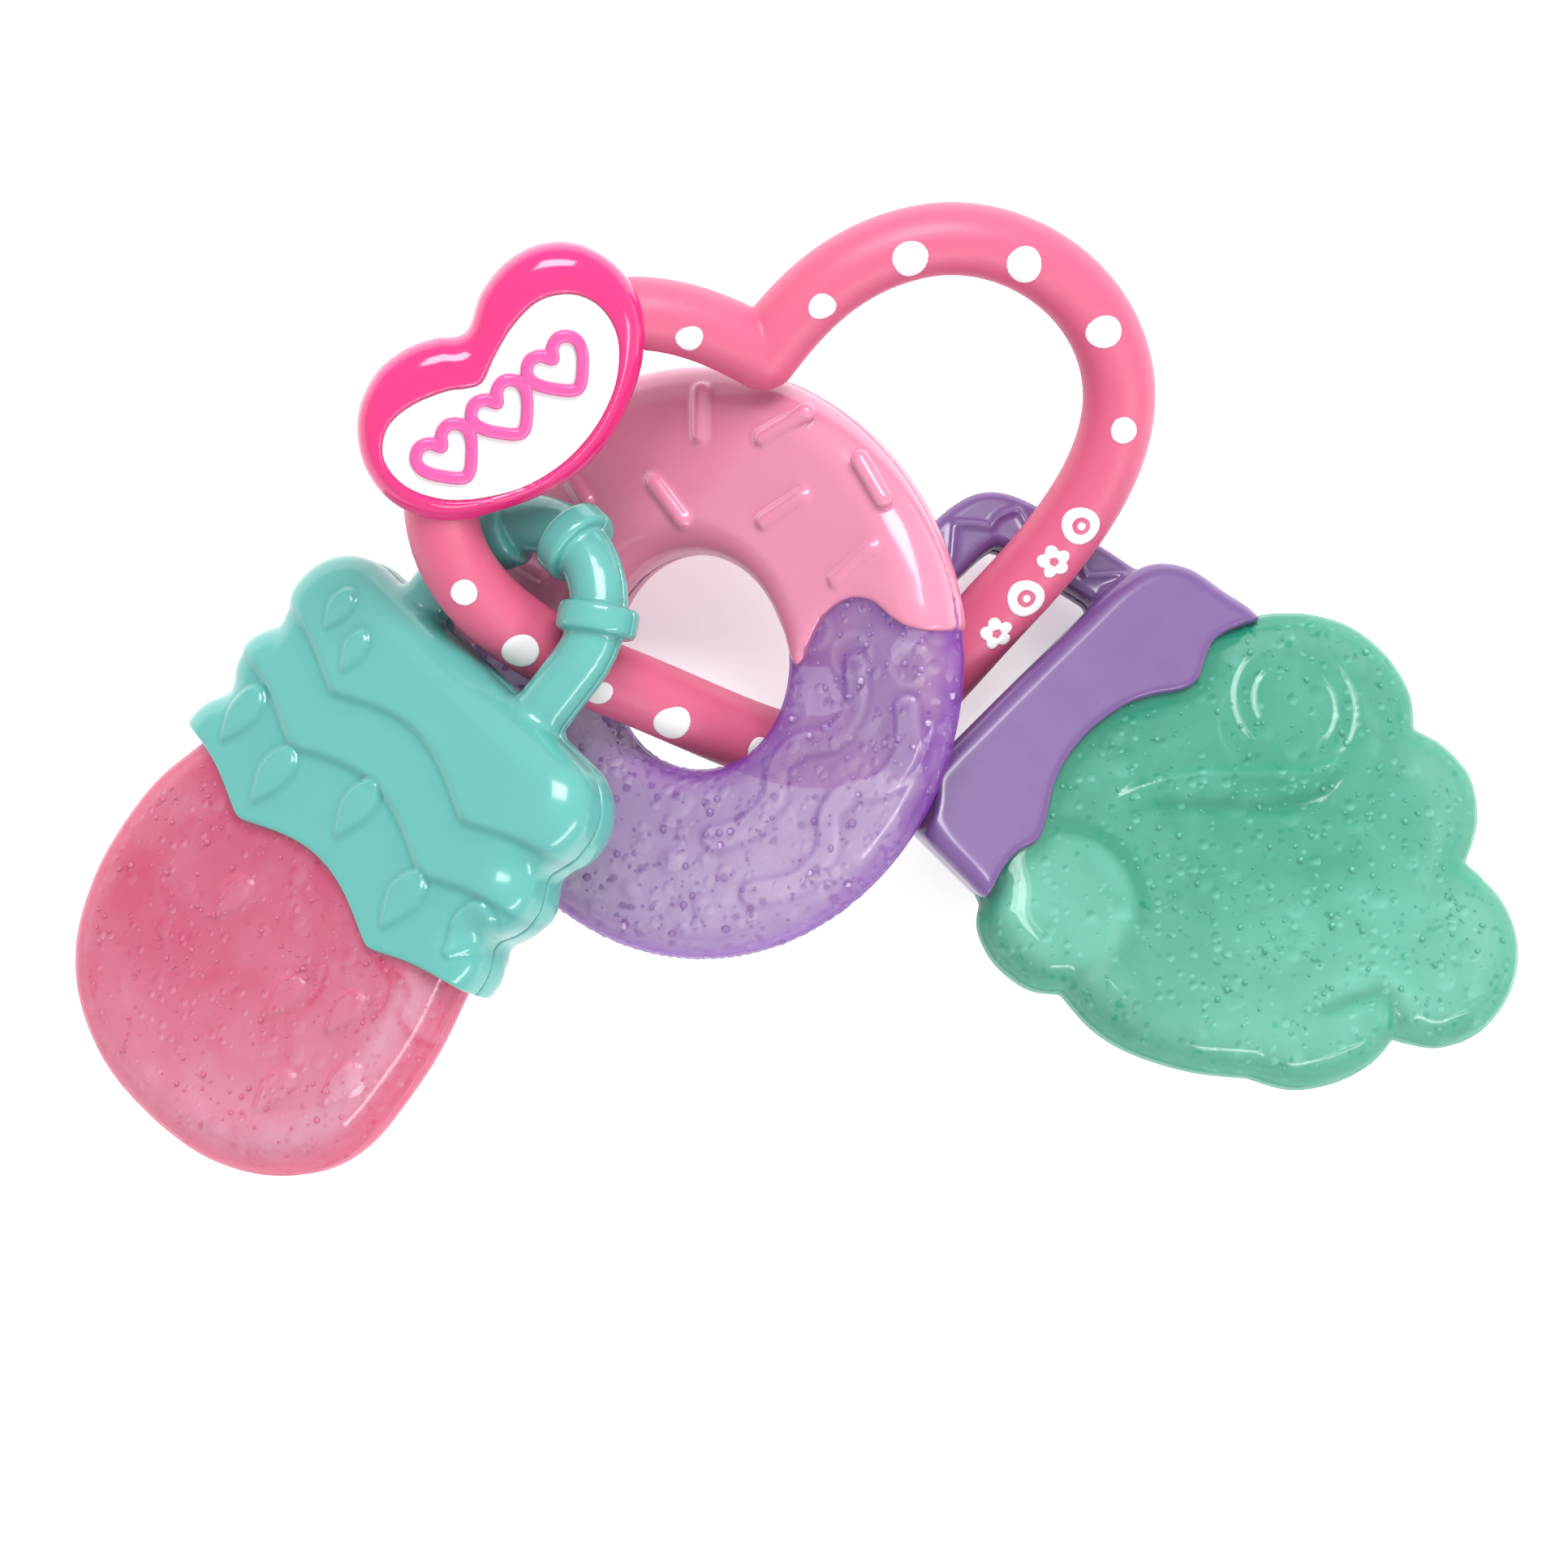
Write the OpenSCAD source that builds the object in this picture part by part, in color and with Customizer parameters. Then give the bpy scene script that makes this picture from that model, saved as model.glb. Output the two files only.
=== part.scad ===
/* [Heart ring] */
// Diameter of the ring's tube
ring_tube_d = 9; // [8:0.5:9.5]
// Half width of the heart, measured on the tube's centreline
heart_half_w = 42.6; // [41:0.2:44]
// Length of the heart from its notch to its tip, on the centreline
heart_drop = 53; // [51:0.5:55]
// Thickness of the raised dots and blossoms above the tube
dot_proud = 0.35; // [0.2:0.05:0.6]

/* [Badge] */
// Thickness of the badge's front half
badge_front_h = 6.4; // [6:0.1:7]
// Thickness of the badge's back half
badge_back_h = 5.6; // [5.4:0.1:6]
// Height of the badge's raised hearts above its white face
motif_h = 0.8; // [0.4:0.1:1.2]

/* [Cupcake teether] */
// Overall thickness of the cupcake's cap
cup_cap_t = 15; // [14:0.5:16]
// Overall thickness of the cupcake's gel pad
cup_gel_t = 13; // [12:0.5:13]
// Length of the cupcake from cap to gel end, without its loop
cup_len = 70; // [68:0.5:72]
// Diameter of the cupcake's carry loop
cup_loop_d = 7.2; // [6.8:0.2:7.6]

/* [Doughnut teether] */
// Outer diameter of the doughnut
donut_d = 73; // [72:0.5:74]
// Diameter of the doughnut's hole
donut_hole_d = 26.4; // [26:0.2:27]
// Thickness of the doughnut
donut_t = 11.4; // [11:0.2:11.8]

/* [Ice cream teether] */
// Overall thickness of the ice cream's cap
ice_cap_t = 13; // [12.5:0.5:13.5]
// Overall thickness of the ice cream's gel pad
ice_gel_t = 12; // [11:0.5:12]
// Width of the ice cream's loop section, seen from the front
ice_loop_w = 7.2; // [6.8:0.2:7.6]
// Thickness of the ice cream's loop section
ice_loop_t = 5.2; // [5:0.2:6]

/* [Walls] */
// Wall of the hard plastic caps
cap_wall = 1.5; // [1.3:0.1:1.8]
// Wall of the soft gel pads
gel_wall = 1.4; // [1.2:0.1:1.6]
// Thickness of each half of the welded flange inside the caps
flange_half_t = 1.2; // [1:0.1:1.4]

/* [Hidden] */

$fn = 40;
ring_r = ring_tube_d / 2;
tube_sides = 18;
big = 200;

// ---------- where each piece lies on the table ----------
// Each place is the piece's own origin; each pose is its roll, pitch and heading.
centre_shift = [-0.37, -0.54, -0.14];
ring_place = [-3.5, 41.3, 34.6];
ring_tilt = 22.6;
ring_rise_dir = 117;
ring_heading = 12;
cup_place = [-37.5, 4.3, 26.9];
cup_roll = -29.7;
cup_pitch = 10.9;
cup_heading = -38;
donut_place = [-11.2, 3.7, 21.3];
donut_roll = -29.8;
ice_place = [30, -0.3, 17.4];
ice_roll = 22.1;
ice_pitch = -2.3;
ice_heading = 45.3;

module on_ring() {
    translate(centre_shift + ring_place)
        rotate(a = ring_tilt, v = [sin(ring_rise_dir), -cos(ring_rise_dir), 0])
            rotate([0, 0, ring_heading])
                children();
}

module on_cupcake() {
    translate(centre_shift + cup_place)
        rotate([0, 0, cup_heading])
            rotate([cup_pitch, 0, 0])
                rotate([0, cup_roll, 0])
                    children();
}

module on_donut() {
    translate(centre_shift + donut_place)
        rotate([0, donut_roll, 0])
            children();
}

module on_icecream() {
    translate(centre_shift + ice_place)
        rotate([0, 0, ice_heading])
            rotate([ice_pitch, 0, 0])
                rotate([0, ice_roll, 0])
                    children();
}

// ---------- shared shapes ----------
function bezier(p, t) = pow(1 - t, 3) * p[0] + 3 * pow(1 - t, 2) * t * p[1]
    + 3 * (1 - t) * t * t * p[2] + pow(t, 3) * p[3];
function flip_x(p) = [-p[0], p[1]];
function unit(v) = v / norm(v);

// A tube along a flat path. Each section lies in the plane that halves the bend there.
function section(path, i, half_w, half_t, closed) =
    let (
        n = len(path),
        before = closed || i > 0 ? unit(path[i] - path[(i + n - 1) % n]) : unit(path[1] - path[0]),
        after = closed || i < n - 1 ? unit(path[(i + 1) % n] - path[i]) : before,
        along = unit(before + after),
        side = [-along[1], along[0]],
        stretch = 1 / (along * after)
    )
    [for (k = [0 : tube_sides - 1])
        let (a = 360 * (k + 0.5) / tube_sides, out = half_w * stretch * cos(a))
        [path[i][0] + side[0] * out, path[i][1] + side[1] * out, half_t * sin(a)]];

module tube(path, half_w, half_t, closed = false) {
    n = len(path);
    m = tube_sides;
    rings = closed ? n : n - 1;
    points = [for (i = [0 : n - 1]) each section(path, i, half_w, half_t, closed)];
    walls = [for (i = [0 : rings - 1], k = [0 : m - 1])
        let (j = (i + 1) % n, l = (k + 1) % m)
        [i * m + k, j * m + k, j * m + l, i * m + l]];
    ends = closed ? [] : [[for (k = [0 : m - 1]) k], [for (k = [m - 1 : -1 : 0]) (n - 1) * m + k]];
    polyhedron(points, concat(walls, ends), convexity = 6);
}

// A flat form whose rim is stepped like a rounded edge, smaller all over by shrink.
module rounded_slab(t, shrink = 0) {
    for (step = [[1, 2.6], [0.84, 1.1], [0.56, 0]])
        linear_extrude(t * step[0] - 2 * shrink, center = true)
            offset(delta = -step[1] - shrink)
                children();
}

module plate(t) {
    linear_extrude(t, center = true) children();
}

module front_half() {
    intersection() {
        children();
        translate([-big / 2, -big / 2, 0]) cube(big);
    }
}

module back_half() {
    intersection() {
        children();
        translate([-big / 2, -big / 2, -big]) cube(big);
    }
}

// How far each flange runs into the end wall of its gel pad.
weld_lap = 1;

// Weld posts stand on the back half of a cap and end in sockets of the front half.
post_r = 1.8;
post_gap = 0.15;
socket_wall = 1.2;
post_top = 3.8;

module posts(places, depth) {
    for (p = places)
        translate([p[0], p[1], -depth]) cylinder(r = post_r, h = depth + post_top);
}

module sockets(places, depth) {
    for (p = places)
        translate([p[0], p[1], flange_half_t + 0.3])
            difference() {
                cylinder(r = post_r + post_gap + socket_wall, h = depth - flange_half_t - 0.3);
                translate([0, 0, -1]) cylinder(r = post_r + post_gap, h = post_top + 0.2);
            }
}

module post_holes(places) {
    for (p = places)
        translate([p[0], p[1]]) circle(r = post_r + socket_wall);
}

// ---------- heart ring: local y runs from the tip to the notch, which is the origin ----------
hw = heart_half_w;
lobe_top = [21, 9.6];
waist = [26, -heart_drop * 0.7];
heart_tip = [0, -heart_drop];
curve_notch = [[0, 0], [7, 6.5], [13, lobe_top[1]], lobe_top];
curve_lobe = [lobe_top, [32, lobe_top[1]], [hw, -0.5], [hw, -12.5]];
curve_side = [[hw, -12.5], [hw, -23], [34, -31], waist];
curve_tip = [waist, [14, -45.7], [7, -heart_drop], heart_tip];
right_half = concat(
    [[0, 0]],
    [for (i = [2 : 6]) bezier(curve_notch, i / 7)],
    [for (i = [0 : 9]) bezier(curve_lobe, i / 10)],
    [for (i = [0 : 7]) bezier(curve_side, i / 8)],
    [for (i = [0 : 7]) bezier(curve_tip, i / 8)]
);
left_half = [for (i = [len(right_half) - 1 : -1 : 1]) flip_x(right_half[i])];
heart_path = concat(right_half, [heart_tip], left_half);

// The ring's two ends meet inside the badge, on each side of a rib.
join_place = [-32.5, 5.4, 0];
join_turn = 37;
join_gap = 4;
channel_gap = 0.1;

module join_block(w) {
    translate(join_place) rotate([0, 0, join_turn]) cube([w, 12, 12], center = true);
}

module heart_ring() {
    color("hotpink")
        on_ring()
            difference() {
                tube(heart_path, ring_r, ring_r, closed = true);
                join_block(join_gap);
            }
}

// A dot is a centre and a diameter. They lie along the crest of the tube.
small_dot = 3.2;
large_dot = 4.5;
dots = [[-9, 6.3, small_dot], [7.7, 6.2, small_dot], [19.4, 9.4, large_dot], [33, 5.4, large_dot],
    [41.3, -5.6, large_dot], [41.7, -18.7, small_dot], [-41, -20, small_dot],
    [-35.8, -28.7, large_dot], [-27.6, -36.1, small_dot], [-19.6, -42, large_dot],
    [-9.6, -49.2, small_dot]];
dot_sink = 0.9;

module ring_dots() {
    color("white")
        on_ring()
            for (d = dots)
                translate([d[0], d[1], ring_r - dot_sink])
                    cylinder(d = d[2], h = dot_sink + dot_proud);
}

// Ringed dots and five-petalled blossoms take turns down the lower right side.
ringed_dots = [[34.3, -29.6], [26.1, -37.1]];
blossoms = [[30.2, -33.4], [21.9, -40.2]];
petal_d = 1.8;
petal_out = 1.3;

module ring_blossoms() {
    color("white")
        on_ring()
            translate([0, 0, ring_r - dot_sink]) {
                for (p = ringed_dots)
                    translate([p[0], p[1], 0]) {
                        cylinder(d = 4.6, h = dot_sink + dot_proud);
                        cylinder(d = 1.6, h = dot_sink + dot_proud + 0.2);
                    }
                for (p = blossoms, a = [0 : 72 : 288])
                    translate([p[0] + petal_out * cos(a + 20), p[1] + petal_out * sin(a + 20), 0])
                        cylinder(d = petal_d, h = dot_sink + dot_proud);
            }
}

// ---------- badge: it lies in the plane of the ring, over the join ----------
badge_lobe_left = [-42, 1.5];
badge_lobe_right = [-25.5, 10];
badge_low_left = [-37, -0.5];
badge_low_right = [-28, 2];

module disc(place, r) {
    translate(place) circle(r = r);
}

module badge_outline() {
    hull() {
        disc(badge_lobe_left, 9.9);
        disc(badge_low_left, 9.9);
        disc(badge_low_right, 10.5);
    }
    hull() {
        disc(badge_low_left, 9.9);
        disc(badge_low_right, 10.5);
        disc(badge_lobe_right, 11);
    }
}

module badge_window() {
    hull() {
        disc(badge_lobe_left - [0, 2], 6.8);
        disc(badge_low_left - [-1, 1], 6.5);
        disc(badge_low_right - [0, 1], 7);
    }
    hull() {
        disc(badge_low_left - [-1, 1], 6.5);
        disc(badge_low_right - [0, 1], 7);
        disc(badge_lobe_right - [0, 2.7], 8);
    }
}

face_t = 1.2;
badge_bevel = 1.2;

module badge_channel() {
    tube(heart_path, ring_r + channel_gap, ring_r + channel_gap, closed = true);
}

module badge_rib(z, h) {
    intersection() {
        join_block(join_gap - 2 * channel_gap);
        translate(join_place + [-8, -8, z]) cube([16, 16, h]);
    }
}

module badge_front() {
    color("deeppink")
        on_ring() {
            difference() {
                union() {
                    linear_extrude(badge_front_h - badge_bevel) badge_outline();
                    linear_extrude(badge_front_h) offset(delta = -badge_bevel) badge_outline();
                }
                badge_channel();
                translate([0, 0, badge_front_h - face_t]) linear_extrude(face_t + 1) badge_window();
            }
            badge_rib(0, ring_r);
        }
}

module badge_back() {
    color("deeppink")
        on_ring() {
            difference() {
                union() {
                    translate([0, 0, badge_bevel - badge_back_h])
                        linear_extrude(badge_back_h - badge_bevel) badge_outline();
                    translate([0, 0, -badge_back_h])
                        linear_extrude(badge_back_h) offset(delta = -badge_bevel) badge_outline();
                }
                badge_channel();
            }
            badge_rib(-ring_r, ring_r);
        }
}

module badge_face() {
    color("white")
        on_ring()
            translate([0, 0, badge_front_h - face_t])
                linear_extrude(face_t) badge_window();
}

motif_turn = 27;
motif_pitch = 9;

module small_heart(w) {
    rotate([0, 0, 45]) {
        square(w * 0.56, center = true);
        translate([0, w * 0.28]) circle(d = w * 0.56);
        translate([w * 0.28, 0]) circle(d = w * 0.56);
    }
}

module badge_motif() {
    color("hotpink")
        on_ring()
            translate([-33, 1.6, badge_front_h])
                rotate([0, 0, motif_turn])
                    for (i = [-1 : 1])
                        translate([i * motif_pitch, 0, 0])
                            linear_extrude(motif_h)
                                difference() {
                                    small_heart(8);
                                    small_heart(4.2);
                                }
}

// ---------- cupcake teether: local y runs towards its loop ----------
cup_mid = 1;
cup_posts = [[cup_mid - 14, -15], [cup_mid + 14, -15], [cup_mid, -11]];
cup_cap_depth = cup_cap_t / 2 - cap_wall;
loop_leg_x = 11.2;
loop_mid_y = 7;
loop_ends_y = -4;
cup_loop_path = concat(
    [[loop_leg_x, loop_ends_y]],
    [for (a = [0 : 12 : 180]) [loop_leg_x * cos(a), loop_mid_y + loop_leg_x * sin(a)]],
    [[-loop_leg_x, loop_ends_y]]
);

module cup_tier(half_w, y, r) {
    for (s = [-1, 1])
        translate([cup_mid + s * (half_w - r), y]) circle(r = r);
    translate([cup_mid - half_w + r, y - r]) square([2 * (half_w - r), 2 * r]);
}

module cup_cap_outline() {
    cup_tier(27, -8.3, 7.4);
    cup_tier(27.6, -19.3, 5);
    cup_tier(27.4, -28.4, 5);
    translate([cup_mid - 27.4, -40]) square([54.8, 11.6]);
    translate([cup_mid - 24, -36]) square([48, 30]);
}

module cup_gel_outline() {
    hull() {
        disc([1.5, cup_len * -0.7], cup_len * 0.315);
        disc([-8.8, -49.6], 17);
        disc([11.8, -49.6], 17);
        disc([-19.5, -26], 3);
        disc([22.5, -26], 3);
    }
}

// Everything on the cap's side of its dripping edge, moved down by drop.
module cup_cap_side(drop = 0) {
    wave = [for (x = [-40 : 1.6 : 40]) [x, -33.4 - drop + 2.1 * cos(360 * (x - 1.7) / 27)]];
    polygon(concat(wave, [[40, 40], [-40, 40]]));
}

module cup_collars() {
    for (a = [33, 90, 147])
        translate([loop_leg_x * cos(a), loop_mid_y + loop_leg_x * sin(a), 0])
            rotate([90, 0, a])
                cylinder(d = cup_loop_d + 2.8, h = 3.4, center = true);
}

module cup_cap() {
    difference() {
        union() {
            intersection() {
                rounded_slab(cup_cap_t) cup_cap_outline();
                plate(cup_cap_t + 2) cup_cap_side();
            }
            tube(cup_loop_path, cup_loop_d / 2, cup_loop_d / 2);
            cup_collars();
        }
        rounded_slab(cup_cap_t, cap_wall) cup_cap_outline();
    }
}

module cupcake_cap_front() {
    color("mediumaquamarine")
        on_cupcake() {
            front_half() cup_cap();
            sockets(cup_posts, cup_cap_depth);
        }
}

module cupcake_cap_back() {
    color("mediumaquamarine")
        on_cupcake() {
            back_half() cup_cap();
            posts(cup_posts, cup_cap_depth);
        }
}

module cup_gel() {
    difference() {
        union() {
            difference() {
                rounded_slab(cup_gel_t) cup_gel_outline();
                plate(cup_gel_t + 2) cup_cap_side();
            }
            plate(2 * flange_half_t)
                intersection() {
                    cup_cap_side(weld_lap);
                    difference() {
                        translate([cup_mid - 20, -42]) square([40, 36]);
                        post_holes(cup_posts);
                    }
                }
        }
        cup_fill();
    }
}

module cup_fill() {
    difference() {
        rounded_slab(cup_gel_t, gel_wall) cup_gel_outline();
        plate(cup_gel_t) cup_cap_side(gel_wall);
    }
}

module cupcake_gel_front() {
    color("palevioletred") on_cupcake() front_half() cup_gel();
}

module cupcake_gel_back() {
    color("palevioletred") on_cupcake() back_half() cup_gel();
}

module cupcake_gel_fill() {
    color("pink") on_cupcake() cup_fill();
}

// ---------- doughnut teether: turned about its own local z ----------
donut_posts = [[0, 25], [-22, 15], [22, 16]];
icing_step = 0.3;
donut_depth = donut_t / 2 - cap_wall;

module donut_form(shrink) {
    h = donut_t / 2 - shrink;
    rotate_extrude($fn = 72)
        hull() {
            translate([donut_hole_d / 2 + shrink + h, 0]) circle(r = h, $fn = 24);
            translate([donut_d / 2 - shrink - h, 0]) circle(r = h, $fn = 24);
        }
}

// Everything on the icing's side of its dripping edge, moved down by drop.
module icing_side(drop = 0) {
    translate([0, -drop])
        difference() {
            union() {
                translate([-40, 6]) square([80, 40]);
                disc([15.6, 4.2], 4);
                disc([32.5, 8.2], 4.6);
                disc([-15.6, 3.6], 4.6);
                disc([-31, 6], 5.4);
            }
            disc([23.4, 4.6], 3.4);
            disc([-24, 2.6], 3.2);
        }
}

// A sprinkle is a centre and a turn, on the front of the icing.
sprinkles = [[3.2, 30.5, 0], [15, 29, -58], [23.6, 19.6, 36], [-1.4, 20, 36], [15, 18.7, -58],
    [25, 11.6, -48], [-15, 22, 30], [-22, 12, 60]];
sprinkle_r = 1.25;
sprinkle_len = 7;

module icing_sprinkles() {
    for (s = sprinkles)
        translate([s[0], s[1], donut_t / 2 - 0.5])
            rotate([90, 0, s[2]])
                cylinder(r = sprinkle_r, h = sprinkle_len, center = true);
}

module icing() {
    intersection() {
        difference() {
            donut_form(0);
            donut_form(cap_wall);
        }
        plate(donut_t + 4) icing_side();
    }
}

module donut_icing_front() {
    color("lightpink")
        on_donut() {
            front_half() icing();
            icing_sprinkles();
            sockets(donut_posts, donut_depth);
        }
}

module donut_icing_back() {
    color("lightpink")
        on_donut() {
            back_half() icing();
            posts(donut_posts, donut_depth);
        }
}

module donut_fill() {
    difference() {
        donut_form(gel_wall + icing_step);
        plate(donut_t) {
            icing_side();
            icing_side(gel_wall);
        }
    }
}

module donut_flange_outline() {
    difference() {
        circle(r = donut_d / 2 - 3);
        circle(r = donut_hole_d / 2 + 3);
        post_holes(donut_posts);
        translate([-40, 21]) square([80, 40]);
    }
}

module donut_gel() {
    difference() {
        union() {
            difference() {
                donut_form(icing_step);
                plate(donut_t + 2) icing_side();
            }
            plate(2 * flange_half_t)
                intersection() {
                    icing_side(weld_lap);
                    donut_flange_outline();
                }
        }
        donut_fill();
    }
}

module donut_gel_front() {
    color("mediumpurple") on_donut() front_half() donut_gel();
}

module donut_gel_back() {
    color("mediumpurple") on_donut() back_half() donut_gel();
}

module donut_gel_fill() {
    color("plum") on_donut() donut_fill();
}

// ---------- ice cream teether: local y runs towards its loop ----------
ice_posts = [[-14, -5], [18, -5], [2, -3.6]];
ice_cap_depth = ice_cap_t / 2 - cap_wall;
ice_corner = [[15.2, 11], [14.2, 17], [12.5, 20.2], [6.5, 20.3]];
ice_loop_half = concat(
    [[18.4, -3], [16.4, 6]],
    [for (i = [0 : 6]) bezier(ice_corner, i / 6)]
);
ice_loop_path = concat(ice_loop_half, [for (i = [len(ice_loop_half) - 1 : -1 : 0]) flip_x(ice_loop_half[i])]);

module ice_cap_outline() {
    hull() {
        disc([-20.3, -2], 4);
        disc([24.2, -2], 4);
        disc([-23, -12], 1.5);
        disc([28, -12], 1.5);
    }
}

// A swirl of soft ice cream: round lobes around a middle.
module ice_gel_outline() {
    disc([24, -25.3], 12.4);
    disc([23.2, -43.6], 9.4);
    disc([12.3, -57.3], 11);
    disc([-6, -50.3], 10.3);
    disc([-15.4, -36.3], 10.3);
    disc([-18.7, -21.2], 9.5);
    disc([3.5, -27.2], 18);
    polygon([[-19, -22], [22, -24], [23, -46], [12, -58], [-7, -52], [-17, -37]]);
}

module ice_flange_outline() {
    difference() {
        translate([-19, -15]) square([42, 14]);
        post_holes(ice_posts);
    }
}

module ice_cap() {
    difference() {
        union() {
            difference() {
                rounded_slab(ice_cap_t) ice_cap_outline();
                plate(ice_cap_t + 2) ice_gel_outline();
            }
            tube(ice_loop_path, ice_loop_w / 2, ice_loop_t / 2);
        }
        rounded_slab(ice_cap_t, cap_wall) ice_cap_outline();
        plate(2 * flange_half_t) translate([-19, -15]) square([42, 8]);
    }
}

module icecream_cap_front() {
    color("mediumorchid")
        on_icecream() {
            front_half() ice_cap();
            sockets(ice_posts, ice_cap_depth);
        }
}

module icecream_cap_back() {
    color("mediumorchid")
        on_icecream() {
            back_half() ice_cap();
            posts(ice_posts, ice_cap_depth);
        }
}

module ice_fill() {
    rounded_slab(ice_gel_t, gel_wall) ice_gel_outline();
}

module ice_gel() {
    difference() {
        union() {
            rounded_slab(ice_gel_t) ice_gel_outline();
            plate(2 * flange_half_t) ice_flange_outline();
        }
        ice_fill();
    }
}

module icecream_gel_front() {
    color("mediumseagreen") on_icecream() front_half() ice_gel();
}

module icecream_gel_back() {
    color("mediumseagreen") on_icecream() back_half() ice_gel();
}

module icecream_gel_fill() {
    color("aquamarine") on_icecream() ice_fill();
}

heart_ring();
ring_dots();
ring_blossoms();
badge_front();
badge_back();
badge_face();
badge_motif();
cupcake_cap_front();
cupcake_cap_back();
cupcake_gel_front();
cupcake_gel_back();
cupcake_gel_fill();
donut_icing_front();
donut_icing_back();
donut_gel_front();
donut_gel_back();
donut_gel_fill();
icecream_cap_front();
icecream_cap_back();
icecream_gel_front();
icecream_gel_back();
icecream_gel_fill();
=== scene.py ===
"""The looks of a heart-shaped teething ring with three gel teethers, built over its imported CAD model.

Each piece is modelled as a distance field in its own millimetres, meshed, and set down on its CAD body.
"""
import math
import bpy
import numpy as np
import openvdb
from mathutils import Matrix, Vector


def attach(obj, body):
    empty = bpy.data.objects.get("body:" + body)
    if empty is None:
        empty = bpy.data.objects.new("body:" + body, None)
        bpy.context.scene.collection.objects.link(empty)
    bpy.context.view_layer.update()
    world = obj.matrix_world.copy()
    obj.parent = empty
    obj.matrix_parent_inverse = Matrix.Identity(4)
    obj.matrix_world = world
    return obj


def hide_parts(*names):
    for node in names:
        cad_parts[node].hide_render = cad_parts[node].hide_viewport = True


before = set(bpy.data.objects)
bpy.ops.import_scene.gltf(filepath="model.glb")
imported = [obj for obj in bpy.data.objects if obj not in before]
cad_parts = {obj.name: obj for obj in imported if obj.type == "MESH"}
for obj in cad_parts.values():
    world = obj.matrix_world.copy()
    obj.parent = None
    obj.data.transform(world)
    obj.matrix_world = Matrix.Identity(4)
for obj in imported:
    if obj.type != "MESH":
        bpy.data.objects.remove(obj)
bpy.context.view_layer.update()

MM = 0.001
STEP = 0.34
FAR = 50.0  # millimetres: farther than any shape in a block
rng = np.random.default_rng(7)


# ---------- where each body lies, as in the CAD source ----------
def turned(axis, degrees):
    return Matrix.Rotation(math.radians(degrees), 4, axis)


def placed(x, y, z):
    return Matrix.Translation((x - 0.37, y - 0.54, z - 0.14))


RISE = math.radians(117)
PLACES = {
    "ring": placed(-3.5, 41.3, 34.6)
    @ Matrix.Rotation(math.radians(22.6), 4, Vector((math.sin(RISE), -math.cos(RISE), 0)))
    @ turned("Z", 12),
    "cupcake": placed(-37.5, 4.3, 26.9) @ turned("Z", -38) @ turned("X", 10.9) @ turned("Y", -29.7),
    "donut": placed(-11.2, 3.7, 21.3) @ turned("Y", -29.8),
    "icecream": placed(30, -0.3, 17.4) @ turned("Z", 45.3) @ turned("X", -2.3) @ turned("Y", 22.1),
}


# ---------- distance fields ----------
class Block:
    """A block of sample points, in millimetres, along one piece's own axes."""

    def __init__(self, low, high, step=STEP):
        self.low, self.step = np.array(low, float), step
        n = [int(math.ceil((h - l) / step)) + 1 for l, h in zip(low, high)]
        self.shape = tuple(n)
        self.x = (low[0] + step * np.arange(n[0]))[:, None, None]
        self.y = (low[1] + step * np.arange(n[1]))[None, :, None]
        self.z = (low[2] + step * np.arange(n[2]))[None, None, :]
        self.px, self.py = np.broadcast_arrays(self.x, self.y)


def smooth_min(a, b, k):
    h = np.clip(0.5 + 0.5 * (b - a) / k, 0, 1)
    return b + (a - b) * h - k * h * (1 - h)


def smooth_max(a, b, k):
    return -smooth_min(-a, -b, k)


def ridge(distance, width):
    """A smooth bump that is 1 where distance is 0."""
    return np.exp(-((distance / width) ** 2))


def soft_step(value, width):
    return 0.5 + 0.5 * np.tanh(value / width)


def curve_through(points, closed=True, steps=8):
    """A smooth curve through given points."""
    p = np.array(points, float)
    n = len(p)
    out = []
    for i in range(n if closed else n - 1):
        a, b, c, d = (p[(i + k) % n] if closed else p[min(max(i + k, 0), n - 1)] for k in (-1, 0, 1, 2))
        for t in np.arange(steps) / steps:
            out.append(0.5 * (2 * b + (c - a) * t + (2 * a - 5 * b + 4 * c - d) * t**2
                              + (3 * b - a - 3 * c + d) * t**3))
    if not closed:
        out.append(p[-1])
    return np.array(out)


def along_path(px, py, path, closed=False):
    """Distance to a flat path, how far along it the nearest point is, and how far to its left."""
    ends = np.vstack([path, path[:1]]) if closed else path
    best = np.full(px.shape, 1e9)
    run = np.zeros(px.shape)
    left = np.zeros(px.shape)
    travelled = 0.0
    for a, b in zip(ends[:-1], ends[1:]):
        d = b - a
        length = max(np.hypot(*d), 1e-9)
        t = np.clip(((px - a[0]) * d[0] + (py - a[1]) * d[1]) / length**2, 0, 1)
        qx, qy = px - a[0] - t * d[0], py - a[1] - t * d[1]
        dist = np.hypot(qx, qy)
        near = dist < best
        best = np.where(near, dist, best)
        run = np.where(near, travelled + t * length, run)
        left = np.where(near, np.sign(d[0] * qy - d[1] * qx) * dist, left)
        travelled += length
    return best, run, left


def outline(px, py, points):
    """Signed distance to a closed outline, negative inside."""
    best = along_path(px, py, points, closed=True)[0]
    inside = np.zeros(px.shape, bool)
    for a, b in zip(points, np.roll(points, -1, axis=0)):
        if a[1] != b[1]:
            crosses = (a[1] > py) != (b[1] > py)
            inside ^= crosses & (px < (b[0] - a[0]) * (py - a[1]) / (b[1] - a[1]) + a[0])
    return np.where(inside, -best, best)


def disc(px, py, centre, r):
    return np.hypot(px - centre[0], py - centre[1]) - r


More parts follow.
